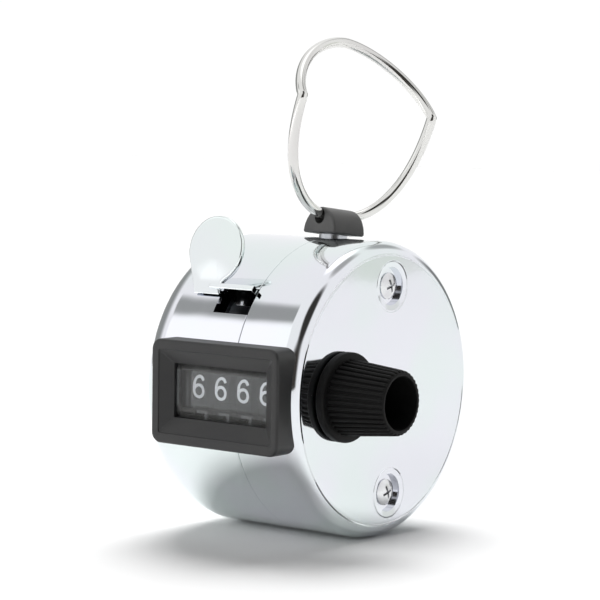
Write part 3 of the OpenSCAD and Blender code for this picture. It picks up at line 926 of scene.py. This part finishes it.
def screw_mesh():
    """Domed head with a cross recess over a plain shank, on its own axis along X."""
    head_x = DRUM_W - SEAT_DEPTH
    head_r, shank_r, wall, rise = 2.0, 0.9, 0.22, 0.53
    profile = [(head_x - 5, 0), (head_x - 5, shank_r), (head_x, shank_r), (head_x, head_r - 0.1)]
    profile += [(head_x + 0.08, head_r), (head_x + wall, head_r)]
    dome_r = (head_r**2 + rise**2) / (2 * rise)
    for i in range(1, 11):
        r = head_r * (1 - i / 10)
        profile.append((head_x + wall + rise - dome_r + math.sqrt(dome_r**2 - r * r), r))
    head = shown("screw", turned("screw", profile, steps=72))
    blades = []
    for turn in (20, 110):
        a = math.radians(turn)
        dy, dz = math.cos(a), math.sin(a)
        outline = [
            (dy * u - dz * v, dz * u + dy * v)
            for u, v in ((-1.25, -0.22), (1.25, -0.22), (1.25, 0.22), (-1.25, 0.22))
        ]
        loops = []
        for x, narrow in ((head_x + 0.1, 0.55), (head_x + 1.2, 1.15)):
            loops.append([(x, y * narrow, z * narrow) for y, z in outline])
        blades.append(shown("blade", loft("blade", loops, False)))
    return combined(head, blades)


def screw_heads():
    head = screw_mesh()
    holder = shown("screw_heads", bpy.data.meshes.new("screw_heads"))
    run_tree(
        holder, REPEAT, Part=head, Count=2, Turn=0.0, Shift=(0, 0, -2 * SCREW_Z * MM),
        Centre=(0, SCREW_Y * MM, SCREW_Z * MM), Finish=FINISHES["plated_screw"],
    )
    gone(head)
    return finished(shaded(holder, 30), "case", ["case_screw_upper", "case_screw_lower"], "plated_screw")


# ---- swivel block and finger loop ----

BLOCK_LIFT = 0.55
BLOCK_R = 4.0
BLOCK_LEN = 6.0
STEM_R = 1.3
MOUTH_R = 1.25
HINGE_H = 2.6
WIRE_R = 0.8


def block_loop(x, inset):
    """D-shaped section of the block, flat side down, with softened lower corners."""
    r = BLOCK_R - inset
    loop = []
    for i in range(49):
        a = math.radians(3 + 174 * i / 48)
        loop.append((x, r * math.cos(a), max(r * math.sin(a), inset)))
    loop.append((x, -r + 0.25, inset))
    loop.append((x, r - 0.25, inset))
    return loop


def swivel_block():
    edge = 0.4
    half = BLOCK_LEN / 2
    turns = [math.radians(t) for t in (0, 22.5, 45, 67.5, 90)]
    steps = [(edge * (1 - math.cos(a)), edge * (1 - math.sin(a))) for a in turns]
    loops = [block_loop(along_it - half, inset) for along_it, inset in steps]
    loops += [block_loop(half - along_it, inset) for along_it, inset in reversed(steps)]
    seat = BLOCK_SEAT @ Matrix.Translation((0, 0, BLOCK_LIFT))
    block = shown("swivel_block", moved(loft("swivel_block", loops, False), seat))
    across = seat @ Matrix.Translation((0, 0, HINGE_H)) @ Matrix.Rotation(math.radians(90), 4, "Y")
    cutters = [upright("wire_hole", WIRE_R + 0.05, -4, 4, across)]
    for side in (-1, 1):
        cutters.append(upright("wire_mouth", MOUTH_R, *sorted((side * 1.3, side * 4)), across))
    cutters.append(upright("stem_hole", STEM_R, -1, 1, seat))
    combined(block, cutters)
    return finished(shaded(block, 32), "swivel", ["ring_block"], "block_plastic")


def lean(degrees):
    a = math.radians(degrees)
    return Vector((0, -math.sin(a), math.cos(a)))


def loop_path():
    """Centre line of the ring: a lower and an upper bow, each in its own plane, meeting at the bend."""
    half_w, low_h, top_h, tilt, bend = 12.6, 18.0, 12.6, 18.0, 54.5
    low_power, top_power = 2 / 2.2, 2 / 1.7
    foot = 1.2

    def low(t):
        a = math.radians(abs(t))
        side = math.copysign(half_w * math.sin(a) ** low_power, t)
        return Vector((side, 0, 0)) + low_h * (1 - math.cos(a) ** low_power) * lean(tilt)

    def top(t):
        a = math.radians(t)
        side = math.copysign(half_w * abs(math.cos(a)) ** top_power, math.cos(a))
        rise = top_h * math.sin(a) ** top_power
        return Vector((side, 0, 0)) + low_h * lean(tilt) + rise * lean(tilt - bend)

    path = [Vector((foot, 0, 0))] + [low(11 + 79 * i / 60) for i in range(60)]
    path += [top(180 * i / 90) for i in range(91)]
    path += [low(-11 - 79 * i / 60) for i in range(59, -1, -1)] + [Vector((-foot, 0, 0))]
    seat = BLOCK_SEAT @ Matrix.Translation((0, 0, BLOCK_LIFT + HINGE_H))
    return [seat @ p for p in path]


def finger_loop():
    path = loop_path()
    mesh = bpy.data.meshes.new("finger_loop")
    links = [(i, i + 1) for i in range(len(path) - 1)]
    mesh.from_pydata([p * MM for p in path], links, [])
    loop = shown("finger_loop", mesh)
    run_tree(loop, WIRE, Radius=WIRE_R * MM, Sides=32, Finish=FINISHES["ring_wire"])
    return finished(shaded(loop, 40), "ring", ["finger_ring"], "ring_wire")


# ---- build ----

left_cup()
right_cup()
window_frame()
numerals()
thumb_tab()
ribbed_knob()
screw_heads()
swivel_block()
finger_loop()

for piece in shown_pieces():
    if piece.get("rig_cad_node"):
        for slot in piece.material_slots:
            slot.material = FINISHES[slot.material.name.split(".")[0]]


# ---- floor, light and camera ----


def floor():
    """Pale plain floor under the drum."""
    half, z = 1.5, -(DRUM_R + 0.02) * MM
    corners = [(-half, -half, z), (half, -half, z), (half, half, z), (-half, half, z)]
    mesh = bpy.data.meshes.new("floor")
    mesh.from_pydata(corners, [], [(0, 1, 2, 3)])
    p = Paint("floor_white")
    cloudy = p.mix(p.noise(20), shade(0.93), shade(0.95))
    mesh.materials.append(p.solid({"Base Color": cloudy, "Roughness": 0.7}))
    shown("floor", mesh)


def lamp(name, kind, energy, place, facing):
    """A light that the plating doesn't mirror; it shines against the facing direction."""
    light = bpy.data.lights.new(name, kind)
    light.energy = energy
    obj = bpy.data.objects.new(name, light)
    obj.location = place
    obj.rotation_euler = Vector(facing).to_track_quat("Z", "Y").to_euler()
    obj.visible_glossy = False
    bpy.context.scene.collection.objects.link(obj)
    return light


def sky():
    """Pale surround, plain white where it is looked at straight, darker and brighter in places elsewhere."""
    p = Paint("studio", bpy.data.worlds, "Generated")
    unseen = 1.0 - p.node("ShaderNodeLightPath", {}, "Is Camera Ray")
    colour = shade(1.0)
    for direction, wide, narrow, tone in SKY_PLACES:
        toward = Vector(direction).normalized()
        nearness = p.node("ShaderNodeVectorMath", {0: p.place, 1: toward}, 1, operation="DOT_PRODUCT")
        amount = nearness.step(math.cos(math.radians(wide)), math.cos(math.radians(narrow)))
        colour = p.mix(amount * unseen, colour, tone)
    soft = p.node("ShaderNodeLightPath", {}, "Is Diffuse Ray")
    glow = p.node("ShaderNodeBackground", {"Color": colour, "Strength": 1.02 - soft * 0.80})
    bpy.context.scene.world = p.surface(glow, "ShaderNodeOutputWorld")


# Direction, where the change starts and where it is full in degrees off it, and the colour there
SKY_PLACES = (
    ((0.76, -0.65, 0.02), 36, 20, shade(0.05, 0.045, 0.04)),
    ((0.68, -0.28, 0.62), 25, 14, shade(0.04, 0.038, 0.035)),
    ((0.35, 0.30, 0.85), 18, 6, shade(0.45, 0.45, 0.44)),
    ((0.07, 0.78, 0.61), 16, 5, shade(0.45)),
    ((0.09, 0.99, 0.05), 17, 7, shade(0.22)),
    ((0.05, 0.90, -0.35), 16, 6, shade(0.3)),
    ((-0.62, -0.39, 0.68), 9, 3, shade(0.36, 0.37, 0.36)),
    ((-0.93, 0.20, 0.12), 36, 14, shade(0.30, 0.31, 0.30)),
    ((-0.10, 0.30, 0.95), 20, 8, shade(1.6)),
    ((-0.62, -0.62, 0.47), 14, 8, shade(1.22)),
    ((0.62, 0.78, 0.10), 13, 7, shade(0.82, 0.84, 0.80)),
)


floor()
sky()
lamp("sunlight", "SUN", 3.25, (0, 0, 0), (-0.24, 0.42, 0.86)).angle = math.radians(42)
fill_place, fill_target = Vector((-0.42, -0.62, 0.20)), Vector((0.018, -0.02, 0))
lamp("front_fill", "AREA", 3.2, fill_place, fill_place - fill_target).size = 0.5
bpy.context.scene.view_settings.view_transform = "Standard"

camera = bpy.data.objects.new("camera", bpy.data.cameras.new("camera"))
bpy.context.scene.collection.objects.link(camera)
camera.data.lens = 148.17
camera.data.sensor_width = 36
camera.data.clip_start = 0.01
camera.data.dof.use_dof = False
right, up = Vector((0.7812, 0.6241, 0.0143)), Vector((-0.0643, 0.0576, 0.9963))
back = Vector((0.6209, -0.7792, 0.0851))
turn = Matrix((right, up, back)).transposed().to_4x4()
camera.matrix_world = Matrix.Translation(Vector((250.77, -297.16, 45.08)) * MM) @ turn
bpy.context.scene.camera = camera
